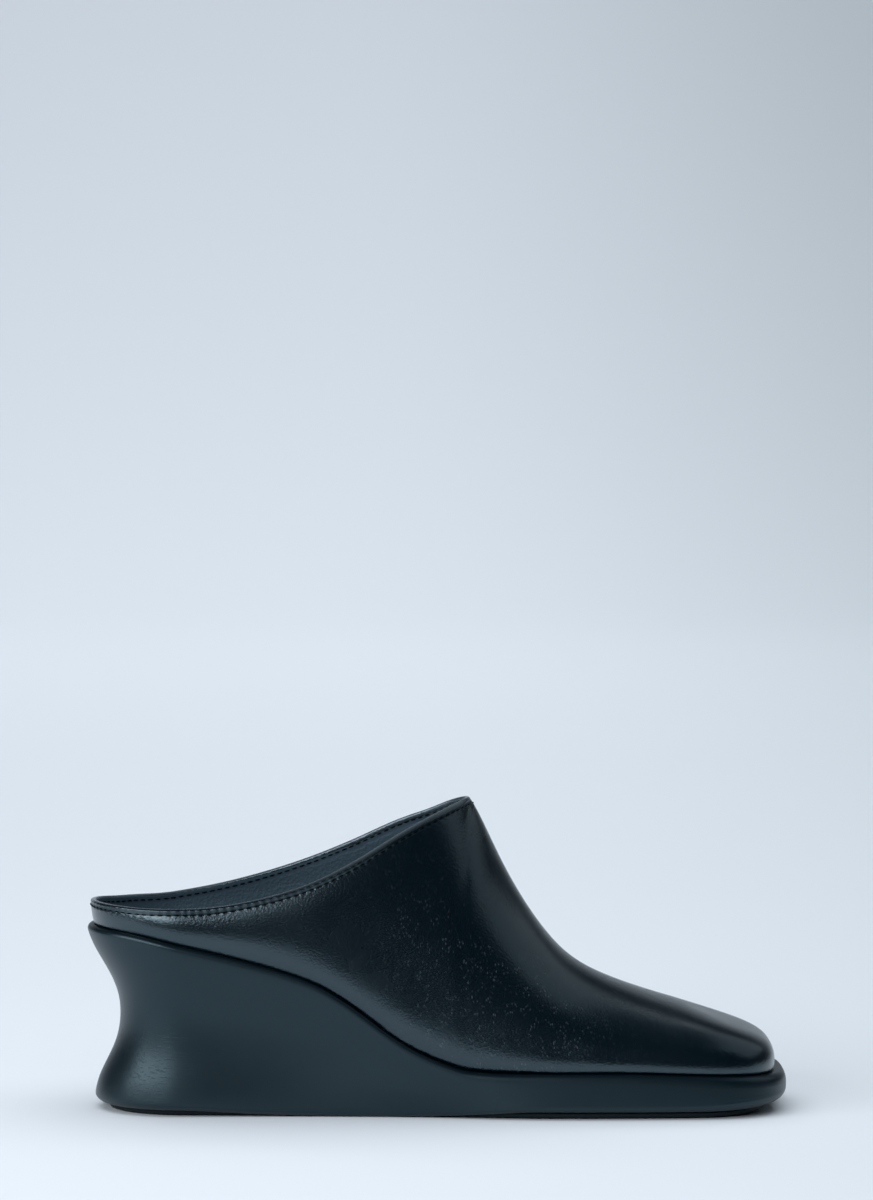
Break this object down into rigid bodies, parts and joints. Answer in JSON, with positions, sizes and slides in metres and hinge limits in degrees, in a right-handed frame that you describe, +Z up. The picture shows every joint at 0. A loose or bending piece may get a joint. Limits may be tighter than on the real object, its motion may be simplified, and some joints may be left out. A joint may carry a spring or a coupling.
{
  "type": "mule",
  "caption": "Backless wedge mule: plain black leather upper, open low heel, square toe, sculpted wedge sole with a drawn-in waist.",
  "frame": {"origin": "on the floor, under the middle of the shoe's bounding box", "axes": "+X to the toe, +Z up, +Y to the inner side of the foot, so the outer side faces -Y"},
  "size_m": [0.249, 0.0832, 0.1108],
  "materials": {
    "upper_leather": "smooth semi-gloss black calf with a fine grain",
    "wedge_foam": "satin black, hand-sanded",
    "outsole_rubber": "matt black",
    "insole_leather": "matt black lining leather"
  },
  "bodies": {
    "root": {"upper": "upper_leather", "sole": "wedge_foam", "outsole": "outsole_rubber", "insole": "insole_leather"}
  },
  "joints": []
}
